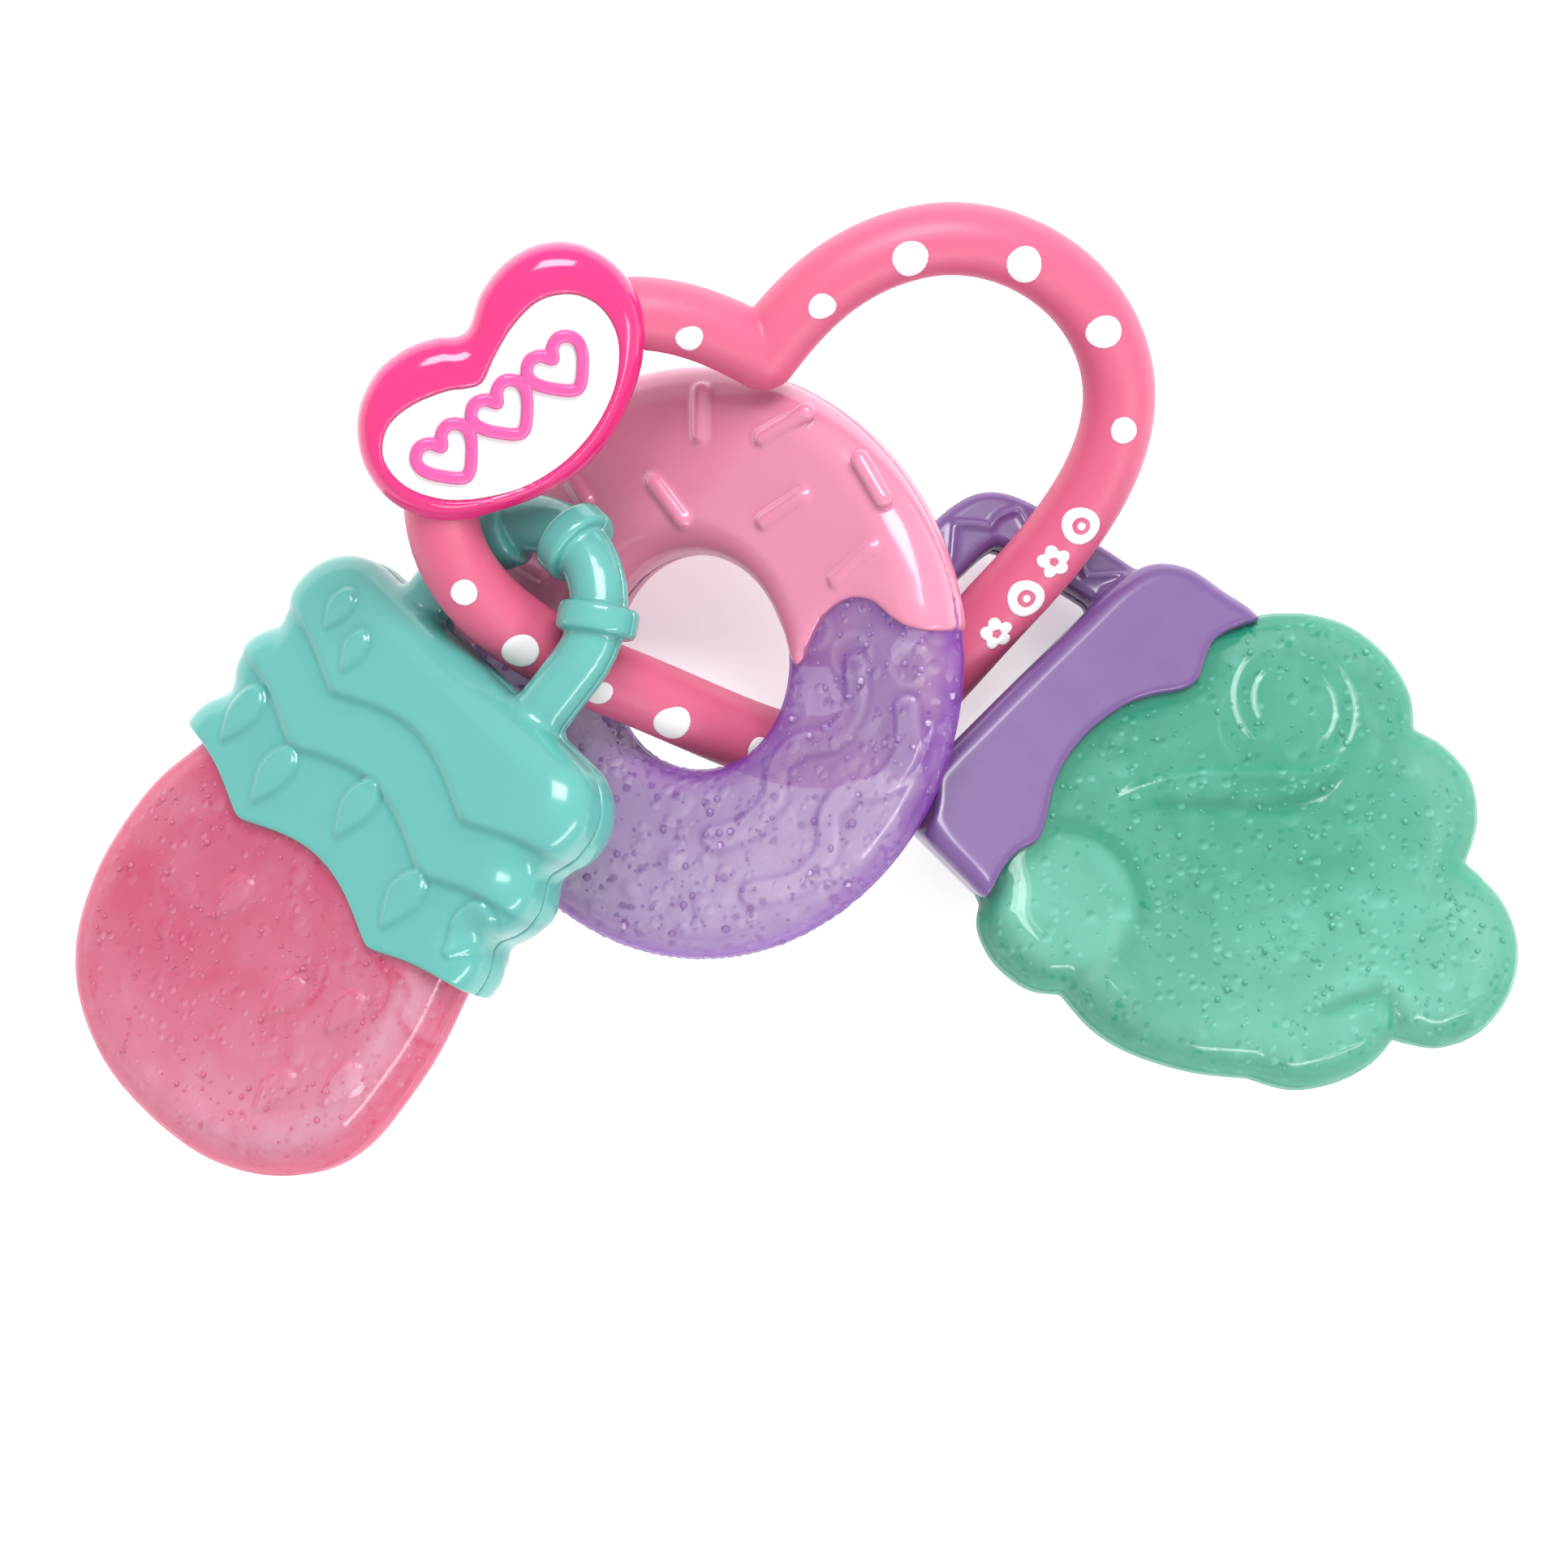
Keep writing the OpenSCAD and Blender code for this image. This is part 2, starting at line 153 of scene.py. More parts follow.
def rounded_box(px, py, cx, cy, half_x, half_y, r):
    qx, qy = np.abs(px - cx) - half_x + r, np.abs(py - cy) - half_y + r
    return np.hypot(np.maximum(qx, 0), np.maximum(qy, 0)) + np.minimum(np.maximum(qx, qy), 0) - r


def slab(flat, z, half_t, r):
    """A flat shape given thickness, with its edges rounded by r."""
    a, b = flat + r, np.abs(z) - half_t + r
    return np.hypot(np.maximum(a, 0), np.maximum(b, 0)) + np.minimum(np.maximum(a, b), 0) - r


def capsule(block, a, b, z, r):
    dist = along_path(block.px, block.py, np.array([a, b], float))[0]
    return np.hypot(dist, block.z - z) - r


# ---------- meshes ----------
def mesh_object(name, points, faces, body, material, corners=4):
    mesh = bpy.data.meshes.new(name)
    mesh.vertices.add(len(points))
    mesh.vertices.foreach_set("co", np.ascontiguousarray(points, np.float32).ravel())
    mesh.loops.add(corners * len(faces))
    mesh.loops.foreach_set("vertex_index", np.ascontiguousarray(faces, np.int32).ravel())
    mesh.polygons.add(len(faces))
    mesh.polygons.foreach_set("loop_start", corners * np.arange(len(faces), dtype=np.int32))
    mesh.update(calc_edges=True)
    mesh.validate()
    mesh.transform(Matrix.Scale(MM, 4) @ PLACES[body])
    mesh.shade_smooth()
    mesh.materials.append(material)
    piece = bpy.data.objects.new(name, mesh)
    bpy.context.scene.collection.objects.link(piece)
    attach(piece, body)
    return piece


def paint_tone(piece, block, tone, points):
    """Gives each point of a mesh the tone of the flat map above or below it."""
    flat = np.broadcast_to(tone, block.shape[:2] + (1,))[:, :, 0]
    u = np.clip((points[:, :2] - block.low[:2]) / block.step, 0, np.array(flat.shape) - 1.001)
    i, f = u.astype(int), u % 1
    row = [flat[i[:, 0] + k, i[:, 1]] * (1 - f[:, 1]) + flat[i[:, 0] + k, i[:, 1] + 1] * f[:, 1]
           for k in (0, 1)]
    values = row[0] * (1 - f[:, 0]) + row[1] * f[:, 0]
    layer = piece.data.attributes.new("tone", "FLOAT", "POINT")
    layer.data.foreach_set("value", values.astype(np.float32))


def solid(name, block, field, body, material, stands_for, tone=None):
    """Meshes the surface where a distance field is zero."""
    band = 3 * block.step
    values = np.clip(np.broadcast_to(field, block.shape), -band, band).astype(np.float32)
    grid = openvdb.FloatGrid(float(band))
    grid.copyFromArray(np.ascontiguousarray(values))
    points, quads = grid.convertToQuads(isovalue=0.0)
    points = block.low + block.step * points
    piece = mesh_object(name, points, quads, body, material)
    if tone is not None:
        paint_tone(piece, block, tone, points)
    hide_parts(*stands_for)


def small_sphere(rings=5, sides=8):
    """A unit sphere's points and triangles, for bubbles."""
    points = [(0, 0, 1)]
    for i in range(1, rings):
        a = math.pi * i / rings
        for j in range(sides):
            b = 2 * math.pi * (j + 0.5 * (i % 2)) / sides
            points.append((math.sin(a) * math.cos(b), math.sin(a) * math.sin(b), math.cos(a)))
    points.append((0, 0, -1))
    last = len(points) - 1
    faces = []
    for j in range(sides):
        k = (j + 1) % sides
        faces.append((0, 1 + j, 1 + k))
        faces.append((last, last - sides + k, last - sides + j))
        for i in range(rings - 2):
            a, b = 1 + i * sides, 1 + (i + 1) * sides
            if i % 2:
                faces += [(a + j, b + j, a + k), (b + j, b + k, a + k)]
            else:
                faces += [(a + j, b + j, b + k), (a + j, b + k, a + k)]
    return np.array(points), np.array(faces)


def bubbles(name, centres, radii, body, material):
    unit, faces = small_sphere()
    squash = rng.uniform(0.75, 1.0, (len(radii), 1, 3))
    points = (centres[:, None, :] + unit[None] * radii[:, None, None] * squash).reshape(-1, 3)
    tris = (faces[None] + len(unit) * np.arange(len(radii))[:, None, None]).reshape(-1, 3)
    mesh_object(name, points, tris, body, material, corners=3)


# ---------- materials ----------
ALBEDO = 0.68  # the studio light is bright, so that the white floor burns out


def linear(r, g, b):
    """The surface colour that the studio light brings to the given screen colour."""
    return tuple(ALBEDO * ((c / 255 + 0.055) / 1.055) ** 2.4 for c in (r, g, b)) + (1.0,)


def plastic(name, slot, rgb, roughness=0.2, shade=0.9, subsurface=0.15, coat=0.0, grain=0.02,
            alpha=1.0, specular=0.5, mottle=260.0, shaded_hollows=False):
    """Moulded plastic: slow colour drift, uneven gloss and a fine grain, and, where asked, painted shade in
    its grooves from the tone attribute.
    """
    material = bpy.data.materials.new(name)
    material["slot"] = slot
    material.use_nodes = True
    nodes, links = material.node_tree.nodes, material.node_tree.links
    bsdf = nodes["Principled BSDF"]
    bsdf.inputs["IOR"].default_value = 1.46
    bsdf.inputs["Subsurface Weight"].default_value = subsurface
    bsdf.inputs["Subsurface Radius"].default_value = (1.0, 0.7, 0.6)
    bsdf.inputs["Subsurface Scale"].default_value = 0.002
    bsdf.inputs["Coat Weight"].default_value = coat
    bsdf.inputs["Coat Roughness"].default_value = 0.06
    bsdf.inputs["Alpha"].default_value = alpha
    bsdf.inputs["Specular IOR Level"].default_value = specular
    place = nodes.new("ShaderNodeTexCoord")
    drift = nodes.new("ShaderNodeTexNoise")
    drift.inputs["Scale"].default_value = mottle * 0.25
    drift.inputs["Detail"].default_value = 3
    colours = nodes.new("ShaderNodeMix")
    colours.data_type = "RGBA"
    full = linear(*rgb)
    colours.inputs["A"].default_value = tuple(c * shade for c in full[:3]) + (1.0,)
    colours.inputs["B"].default_value = full
    gloss = nodes.new("ShaderNodeTexNoise")
    gloss.inputs["Scale"].default_value = mottle
    gloss_range = nodes.new("ShaderNodeMapRange")
    gloss_range.inputs["To Min"].default_value = roughness * 0.8
    gloss_range.inputs["To Max"].default_value = roughness * 1.25
    fine = nodes.new("ShaderNodeTexNoise")
    fine.inputs["Scale"].default_value = 2600
    bump = nodes.new("ShaderNodeBump")
    bump.inputs["Strength"].default_value = grain
    bump.inputs["Distance"].default_value = 0.0002
    for noise in (drift, gloss, fine):
        links.new(place.outputs["Object"], noise.inputs["Vector"])
    links.new(drift.outputs["Fac"], colours.inputs["Factor"])
    links.new(colours.outputs["Result"], bsdf.inputs["Base Color"])
    links.new(gloss.outputs["Fac"], gloss_range.inputs["Value"])
    links.new(gloss_range.outputs["Result"], bsdf.inputs["Roughness"])
    links.new(fine.outputs["Fac"], bump.inputs["Height"])
    links.new(bump.outputs["Normal"], bsdf.inputs["Normal"])
    if shaded_hollows:
        # Painted shade: the tone attribute mixes the colour towards a darker copy of it where the tone falls
        # below 1.
        tone = nodes.new("ShaderNodeAttribute")
        tone.attribute_name = "tone"
        shadow = nodes.new("ShaderNodeMix")
        shadow.data_type = "RGBA"
        shadow.inputs["A"].default_value = (full[0] * 0.45, full[1] * 0.68, full[2] * 0.7, 1.0)
        links.new(tone.outputs["Fac"], shadow.inputs["Factor"])
        links.new(colours.outputs["Result"], shadow.inputs["B"])
        links.new(shadow.outputs["Result"], bsdf.inputs["Base Color"])
    return material


GLINT = (0.5, -0.62, 0.6)  # the side of each bubble that catches the light


def painted_bubbles(material, place, size, spacing):
    """Small bubbles just under the surface: a mask of them, with a painted highlight on the GLINT side of
    each and painted shade on the other.
    """
    nodes, links = material.node_tree.nodes, material.node_tree.links

    def maths(operation, first, second, clamp=False):
        node = nodes.new("ShaderNodeMath")
        node.operation, node.use_clamp = operation, clamp
        for socket, value in zip(node.inputs, (first, second)):
            if isinstance(value, float):
                socket.default_value = value
            else:
                links.new(value, socket)
        return node.outputs["Value"]

    cells = nodes.new("ShaderNodeTexVoronoi")
    cells.inputs["Scale"].default_value = 1000 / spacing
    links.new(place.outputs["Object"], cells.inputs["Vector"])
    chance = nodes.new("ShaderNodeSeparateColor")
    links.new(cells.outputs["Color"], chance.inputs["Color"])
    squared = maths("MULTIPLY", chance.outputs["Red"], chance.outputs["Red"])
    radius = maths("ADD", maths("MULTIPLY", squared, size / spacing), 0.04)
    room = maths("SUBTRACT", radius, cells.outputs["Distance"])
    inside = maths("DIVIDE", room, maths("MULTIPLY", radius, 0.3), clamp=True)
    away = nodes.new("ShaderNodeVectorMath")
    away.operation = "SUBTRACT"
    links.new(place.outputs["Object"], away.inputs[0])
    links.new(cells.outputs["Position"], away.inputs[1])
    lit = nodes.new("ShaderNodeVectorMath")
    lit.operation = "DOT_PRODUCT"
    links.new(away.outputs["Vector"], lit.inputs[0])
    lit.inputs[1].default_value = tuple(c * 1000 / spacing for c in GLINT)
    side = maths("DIVIDE", lit.outputs["Value"], radius)
    return inside, maths("MULTIPLY", inside, side)


def thin_at_rim(material, coat):
    """Lets the gloss fade where the surface turns away, so that the rims keep their colour."""
    nodes, links = material.node_tree.nodes, material.node_tree.links
    facing = nodes.new("ShaderNodeLayerWeight")
    facing.inputs["Blend"].default_value = 0.4
    gloss = nodes.new("ShaderNodeMapRange")
    gloss.inputs["From Min"].default_value = 0.15
    gloss.inputs["From Max"].default_value = 0.75
    gloss.inputs["To Min"].default_value = coat
    gloss.inputs["To Max"].default_value = 0.0
    links.new(facing.outputs["Facing"], gloss.inputs["Value"])
    links.new(gloss.outputs["Result"], nodes["Principled BSDF"].inputs["Coat Weight"])


def gel(name, slot, deep, pale, size, spacing, contrast, alpha=0.66):
    """Tinted gel: deep and pale by the tone map, which holds painted shade and highlights, cloudy, full of
    bubbles with painted lit and shaded sides, under a glossy coat.
    """
    material = plastic(name, slot, pale, roughness=0.3, subsurface=0.3, coat=1.0, grain=0.02, alpha=alpha,
                       specular=0.1, mottle=420.0)
    thin_at_rim(material, 1.0)
    nodes, links = material.node_tree.nodes, material.node_tree.links
    bsdf = nodes["Principled BSDF"]
    bsdf.inputs["Coat Roughness"].default_value = 0.05
    place = next(n for n in nodes if n.bl_idname == "ShaderNodeTexCoord")
    colours = next(n for n in nodes if n.bl_idname == "ShaderNodeMix")
    colours.inputs["A"].default_value = linear(*deep)
    tone = nodes.new("ShaderNodeAttribute")
    tone.attribute_name = "tone"
    clouds = nodes.new("ShaderNodeTexNoise")
    clouds.inputs["Scale"].default_value = 130
    clouds.inputs["Detail"].default_value = 4
    clouds.inputs["Distortion"].default_value = 0.8
    links.new(place.outputs["Object"], clouds.inputs["Vector"])
    spread = nodes.new("ShaderNodeMapRange")
    for socket, value in (("From Min", 0.3), ("From Max", 0.7), ("To Min", -0.15), ("To Max", 0.15)):
        spread.inputs[socket].default_value = value
    links.new(clouds.outputs["Fac"], spread.inputs["Value"])
    total = tone.outputs["Fac"]
    masks = []
    shares = [(spread.outputs["Result"], 1.0)]
    for scale in (1.0, 2.6):
        inside, shade = painted_bubbles(material, place, size * scale, spacing * scale)
        shares.append((shade, contrast / scale**0.8))
        shares.append((inside, 0.12 / scale))
        masks.append(inside)
    for value, share in shares:
        blend = nodes.new("ShaderNodeMath")
        blend.operation = "MULTIPLY_ADD"
        links.new(value, blend.inputs[0])
        blend.inputs[1].default_value = share
        links.new(total, blend.inputs[2])
        total = blend.outputs["Value"]
    links.new(total, colours.inputs["Factor"])
    bump = next(n for n in nodes if n.bl_idname == "ShaderNodeBump")
    swell = nodes.new("ShaderNodeBump")
    swell.inputs["Strength"].default_value = 0.35
    swell.inputs["Distance"].default_value = 0.0003
    both = nodes.new("ShaderNodeMath")
    both.operation = "MAXIMUM"
    links.new(masks[0], both.inputs[0])
    links.new(masks[1], both.inputs[1])
    links.new(both.outputs["Value"], swell.inputs["Height"])
    links.new(bump.outputs["Normal"], swell.inputs["Normal"])
    links.new(swell.outputs["Normal"], bsdf.inputs["Normal"])
    return material


def skin(name, slot, rgb):
    """The clear outer wall: thin where it is seen square on, deep in colour towards its rim."""
    material = plastic(name, slot, rgb, roughness=0.3, subsurface=0.0, coat=1.0, grain=0.01, alpha=0.2,
                       specular=0.1)
    thin_at_rim(material, 1.0)
    nodes, links = material.node_tree.nodes, material.node_tree.links
    facing = nodes.new("ShaderNodeLayerWeight")
    facing.inputs["Blend"].default_value = 0.45
    opacity = nodes.new("ShaderNodeMapRange")
    opacity.inputs["To Min"].default_value = 0.12
    opacity.inputs["To Max"].default_value = 0.9
    links.new(facing.outputs["Facing"], opacity.inputs["Value"])
    links.new(opacity.outputs["Result"], nodes["Principled BSDF"].inputs["Alpha"])
    return material


RING = plastic("ring_satin", "ring_pink", (222, 97, 135), roughness=0.42, grain=0.08)
PRINT = plastic("print_white", "white_print", (250, 246, 247), roughness=0.5, shade=0.97)
MAGENTA = plastic("badge_magenta", "magenta", (236, 36, 128), roughness=0.16, coat=0.3)
FACE = plastic("face_white", "white_face", (252, 248, 251), roughness=0.4, shade=0.97)
MOTIF = plastic("motif_magenta", "magenta", (236, 84, 165), roughness=0.25, coat=0.2)
AQUA = plastic("cap_aqua", "aqua", (98, 184, 177), roughness=0.2, coat=0.25, shaded_hollows=True)
ICING = plastic("icing_pink", "icing_pink", (227, 140, 171), roughness=0.2, coat=0.25)
PURPLE = plastic("cap_purple", "purple", (117, 83, 145), roughness=0.24, coat=0.2)
ROSE = skin("skin_rose", "rose_shell", (230, 50, 116))
VIOLET = skin("skin_violet", "violet_shell", (144, 66, 190))
GREEN = skin("skin_green", "green_shell", (0, 172, 134))
ROSE_CORE = gel("core_rose", "rose_gel", (228, 34, 112), (255, 204, 226), 0.65, 1.3, 0.6)
VIOLET_CORE = gel("core_violet", "violet_gel", (150, 76, 190), (244, 222, 246), 1.1, 1.7, 0.95, alpha=0.52)
GREEN_CORE = gel("core_green", "green_gel", (0, 158, 124), (138, 232, 212), 0.8, 1.4, 1.0)
AIR = dict(roughness=0.08, shade=0.9, subsurface=0.0, coat=1.0, grain=0.0)
ROSE_AIR = plastic("bubble_rose", "rose_gel", (236, 140, 170), **AIR)
VIOLET_AIR = plastic("bubble_violet", "violet_gel", (190, 156, 206), **AIR)
GREEN_AIR = plastic("bubble_green", "green_gel", (104, 196, 172), **AIR)
WALL, EDGE_WALL = 0.7, 0.32


def gel_pad(name, block, field, half_t, body, count, largest, looks, nodes, tone, clear=None):
    """A clear skin, the gel inside it, and the bubbles that lie between them."""
    skin, core, air = looks
    solid(f"{name}_skin", block, field, body, skin, nodes[:2])
    filling = smooth_max(field + EDGE_WALL, np.abs(block.z) - half_t + WALL, 0.8)
    solid(f"{name}_core", block, filling, body, core, nodes[2:], tone)
    values = np.broadcast_to(field, block.shape)
    inside = np.argwhere((values < -WALL + 0.25) & (values > -WALL - 0.2))
    picked = inside[rng.integers(0, len(inside), count)]
    centres = block.low + block.step * (picked + rng.uniform(-0.5, 0.5, (count, 3)))
    radii = 0.2 + (largest - 0.2) * rng.random(count) ** 3
    if clear:
        kept = np.hypot(centres[:, 0] - clear[0], centres[:, 1] - clear[1]) > clear[2]
        centres, radii = centres[kept], radii[kept]
    bubbles(f"{name}_bubbles", centres, radii, body, air)


def halves(name, block, field, body, material, nodes, tone=None):
    """A moulding in two halves, with the fine seam of its weld between them."""
    for end, sign, node in (("front", 1, nodes[0]), ("back", -1, nodes[1])):
        half = smooth_max(field, 0.05 - sign * block.z, 0.15)
        solid(f"{name}_{end}", block, half, body, material, [node], tone)


# ---------- heart ring ----------
RING_R = 4.5
HALF_W, DROP = 42.6, 53.0


def bezier(p, count):
    """A cubic curve's points, without its last."""
    t = np.linspace(0, 1, count, endpoint=False)[:, None]
    p = np.array(p, float)
    return (1 - t) ** 3 * p[0] + 3 * (1 - t) ** 2 * t * p[1] + 3 * (1 - t) * t**2 * p[2] + t**3 * p[3]


RIGHT_HALF = np.vstack([
    bezier([(0, 0), (7, 6.5), (13, 9.6), (21, 9.6)], 14),
    bezier([(21, 9.6), (32, 9.6), (HALF_W, -0.5), (HALF_W, -12.5)], 20),
    bezier([(HALF_W, -12.5), (HALF_W, -23), (34, -31), (26, -DROP * 0.7)], 16),
    bezier([(26, -DROP * 0.7), (14, -45.7), (7, -DROP), (0, -DROP)], 16),
])
HEART_LINE = np.vstack([RIGHT_HALF, [[0, -DROP]], RIGHT_HALF[:0:-1] * (-1, 1)])


def ring_tube(block):
    """Distance to the round tube that runs along the heart."""
    return np.hypot(along_path(block.px, block.py, HEART_LINE, closed=True)[0], block.z) - RING_R


def heart_tube():
    block = Block((-50, -60, -6), (50, 17, 6))
    solid("heart_tube", block, ring_tube(block), "ring", RING, ["heart_ring"])


DOTS = [(-9, 5.6, 1.7), (7.7, 5.8, 1.7), (19.4, 9.2, 2.3), (33, 5.2, 2.3), (41.2, -5.6, 2.2),
        (41.5, -18.7, 1.7), (-42, -20, 1.7), (-36.6, -29.2, 2.3), (-28.2, -36.8, 1.7), (-20, -42.9, 2.3),
        (-10, -49.1, 1.7)]
SPOTS = [(34.2, -29.7), (25.9, -37.4)]
BLOSSOMS = [(30.1, -33.5), (21.5, -41)]


def printed(name, marks, node):
    """Soft paint marks, a tenth of a millimetre proud of the tube."""
    xs, ys = [m[0] for m in marks], [m[1] for m in marks]
    block = Block((min(xs) - 4, min(ys) - 4, 1), (max(xs) + 4, max(ys) + 4, 5), step=0.2)
    tube = ring_tube(block)
    shape = np.full(block.px.shape, FAR)
    for mark in marks:
        shape = np.minimum(shape, mark[2](block.px, block.py))
    film = smooth_max(tube - 0.14, -tube - 0.35, 0.1)
    solid(name, block, smooth_max(film, shape, 0.12), "ring", PRINT, [node])


def dot(x, y, r):
    """A round dot whose edge is a little uneven, as painted."""
    wobble = rng.uniform(-0.12, 0.12, 2)

    def shape(px, py):
        angle = np.arctan2(py - y, px - x)
        return disc(px, py, (x, y), r + wobble[0] * np.cos(2 * angle) + wobble[1] * np.sin(3 * angle))
    return (x, y, shape)


def spot(x, y):
    """A dot with a ring round it."""
    def shape(px, py):
        ring = np.abs(disc(px, py, (x, y), 1.75)) - 0.65
        return np.minimum(ring, disc(px, py, (x, y), 0.55))
    return (x, y, shape)


def blossom(x, y):
    """Five petals round an unpainted middle."""
    def shape(px, py):
        petals = [disc(px, py, (x + 1.3 * math.cos(a), y + 1.3 * math.sin(a)), 0.85)
                  for a in np.radians(20 + 72 * np.arange(5))]
        return np.maximum(np.minimum.reduce(petals), -disc(px, py, (x, y), 0.5))
    return (x, y, shape)


def ring_prints():
    printed("ring_dot_prints", [dot(*d) for d in DOTS], "ring_dots")
    row = [spot(*p) for p in SPOTS] + [blossom(*p) for p in BLOSSOMS]
    printed("ring_blossom_prints", row, "ring_blossoms")


# ---------- badge ----------
BADGE = curve_through([(-35.5, 12), (-32.8, 16.4), (-29, 19.6), (-24.6, 20.9), (-20, 20), (-16.4, 17),
                       (-14.3, 13), (-13.8, 8.6), (-15, 3.8), (-17.4, -0.8), (-20.6, -4.9), (-24.6, -8),
                       (-29.6, -10), (-35.4, -10.9), (-41.4, -10.9), (-46, -9), (-49.4, -5.4), (-51, -0.4),
                       (-50.3, 5), (-47.2, 9.4), (-43, 11.6), (-39, 12.1)])
WINDOW = curve_through([(-35, 6.8), (-33, 9.6), (-30, 13), (-26.2, 15.4), (-22, 15.2), (-18.9, 12.6),
                        (-17.6, 8.2), (-18.6, 3.3), (-21, -0.8), (-24.4, -4.2), (-28.4, -6.6), (-33.2, -8),
                        (-38.6, -8), (-43.2, -6.8), (-47, -4), (-48.7, 0), (-47.4, 3.8), (-44, 5.9),
                        (-39.6, 6.7), (-37, 6.5)])
FRONT_H, BACK_H = 6.4, 5.6
RIM_R, FACE_DEPTH = 3.4, 0.7
HEART = curve_through([(0, 1.5), (0.9, 2.8), (2.3, 3.2), (3.5, 2.2), (3.6, 0.6), (2.4, -1.4), (0, -3.5),
                       (-2.4, -1.4), (-3.6, 0.6), (-3.5, 2.2), (-2.3, 3.2), (-0.9, 2.8)], steps=5)
MOTIF_MID, MOTIF_TURN, MOTIF_PITCH = (-33, 2.4), math.radians(27), 8.6


def badge():
    block = Block((-56, -15, -7.5), (-10, 25, 8.5), step=min(STEP, 0.3))
    px, py = block.px, block.py
    edge = outline(px, py, BADGE)
    window = outline(px, py, WINDOW)
    middle = (FRONT_H - BACK_H) / 2
    draft = 0.3 * np.maximum(0, 2 - block.z)
    body_field = slab(edge + draft, block.z - middle, (FRONT_H + BACK_H) / 2, RIM_R)
    recess = smooth_max(window, FRONT_H - FACE_DEPTH - block.z, 0.2)
    body_field = smooth_max(body_field, -recess, 0.3)
    halves("badge_shell", block, body_field, "ring", MAGENTA, ("badge_front", "badge_back"))
    plate = slab(window + 0.08, block.z - FRONT_H + 1.0, 0.75, 0.3)
    solid("badge_plate", block, plate, "ring", FACE, ["badge_face"])


def badge_hearts():
    """A row of three outlined hearts, raised from the white face."""
    block = Block((-49, -9, 5), (-16, 14, 8), step=0.22)
    px, py = block.px, block.py
    hearts = np.full(px.shape, FAR)
    c, s = math.cos(MOTIF_TURN), math.sin(MOTIF_TURN)
    for i in (-1, 0, 1):
        dx = px - MOTIF_MID[0] - i * MOTIF_PITCH * c
        dy = py - MOTIF_MID[1] - i * MOTIF_PITCH * s
        lx = dx * c + dy * s
        ly = -dx * s + dy * c
        hearts = np.minimum(hearts, np.abs(outline(lx, ly, HEART)) - 0.75)
    solid("badge_hearts", block, slab(hearts, block.z - 6.2, 0.7, 0.35), "ring", MOTIF, ["badge_motif"])


# ---------- cupcake ----------
def scallops(px, top, depth):
    """A row of arches with soft cusps between them."""
    return top - depth + depth * np.sqrt(np.cos(np.pi * (px - 2.8) / 26) ** 2 + 0.012)


CUP_SEEDS = [(-16.8, -6.9, 7, 0.78), (-11.4, -9.4, 13, 0.76), (-18.8, -25.1, 3, 1.1), (-9.8, -27.8, 2, 1.12),
             (2.6, -23.4, 3, 1.12), (15.7, -27.4, 3, 1.12), (25.2, -24.6, 1, 1.08)]
LOOP_R, LOOP_Y, LOOP_TUBE = 11.2, 7.0, 3.6
COLLARS = (33, 90, 147)  # degrees round the loop
TIER_TOPS, TIER_DEPTH = (-11.4, -19.9), 4.2
HEM_TOP, HEM_DEPTH = -31.3, 4.0
CUP_CAP_H, CUP_GEL_H = 6.9, 6.3
TEARDROP = curve_through([(0, -3.9), (0.9, -2.6), (1.7, -0.8), (1.95, 0.9), (1.5, 2.6), (0.3, 3.5),
                          (-0.9, 3.1), (-1.7, 1.6), (-1.9, -0.2), (-1.1, -2.2)], steps=5)


def teardrop(px, py, x, y, turn=3.0, size=1.0):
    """A seed's outline: round at its top, pointed below."""
    c, s = math.cos(math.radians(turn)), math.sin(math.radians(turn))
    u, v = (px - x) * c + (py - y) * s, -(px - x) * s + (py - y) * c
    return outline(u / size, v / size, TEARDROP) * size


def tiers(px, py):
    """The outline of the swirled cap: three rows that bulge past its sides."""
    rows = [(27, -8.3, 7.6, 7.5), (27.5, -19.4, 5.9, 5.8), (27.5, -33.4, 9.2, 6)]
    shape = rounded_box(px, py, 1, -22, 25.2, 16, 3)
    for half_w, y, half_h, r in rows:
        shape = smooth_min(shape, rounded_box(px, py, 1, y, half_w, half_h, r), 1.4)
    return shape


def teether_loop(block):
    """The carry loop, a round tube with collars."""
    legs = np.array([(LOOP_R, -3)] + [(LOOP_R * math.cos(a), LOOP_Y + LOOP_R * math.sin(a))
                                      for a in np.linspace(0, math.pi, 25)] + [(-LOOP_R, -3)])
    field = np.hypot(along_path(block.px, block.py, legs)[0], block.z) - LOOP_TUBE
    for degrees in COLLARS:
        a = math.radians(degrees)
        radial = (block.px * math.cos(a) + (block.py - LOOP_Y) * math.sin(a)) - LOOP_R
        along = -block.px * math.sin(a) + (block.py - LOOP_Y) * math.cos(a)
        across = np.hypot(radial, block.z) - LOOP_TUBE - 1.45
        collar = np.hypot(np.maximum(across + 0.8, 0), np.maximum(np.abs(along) - 1.0, 0)) - 0.8
        collar = np.maximum(collar, -across - 2.5)
        field = smooth_min(field, collar, 0.5)
    return field


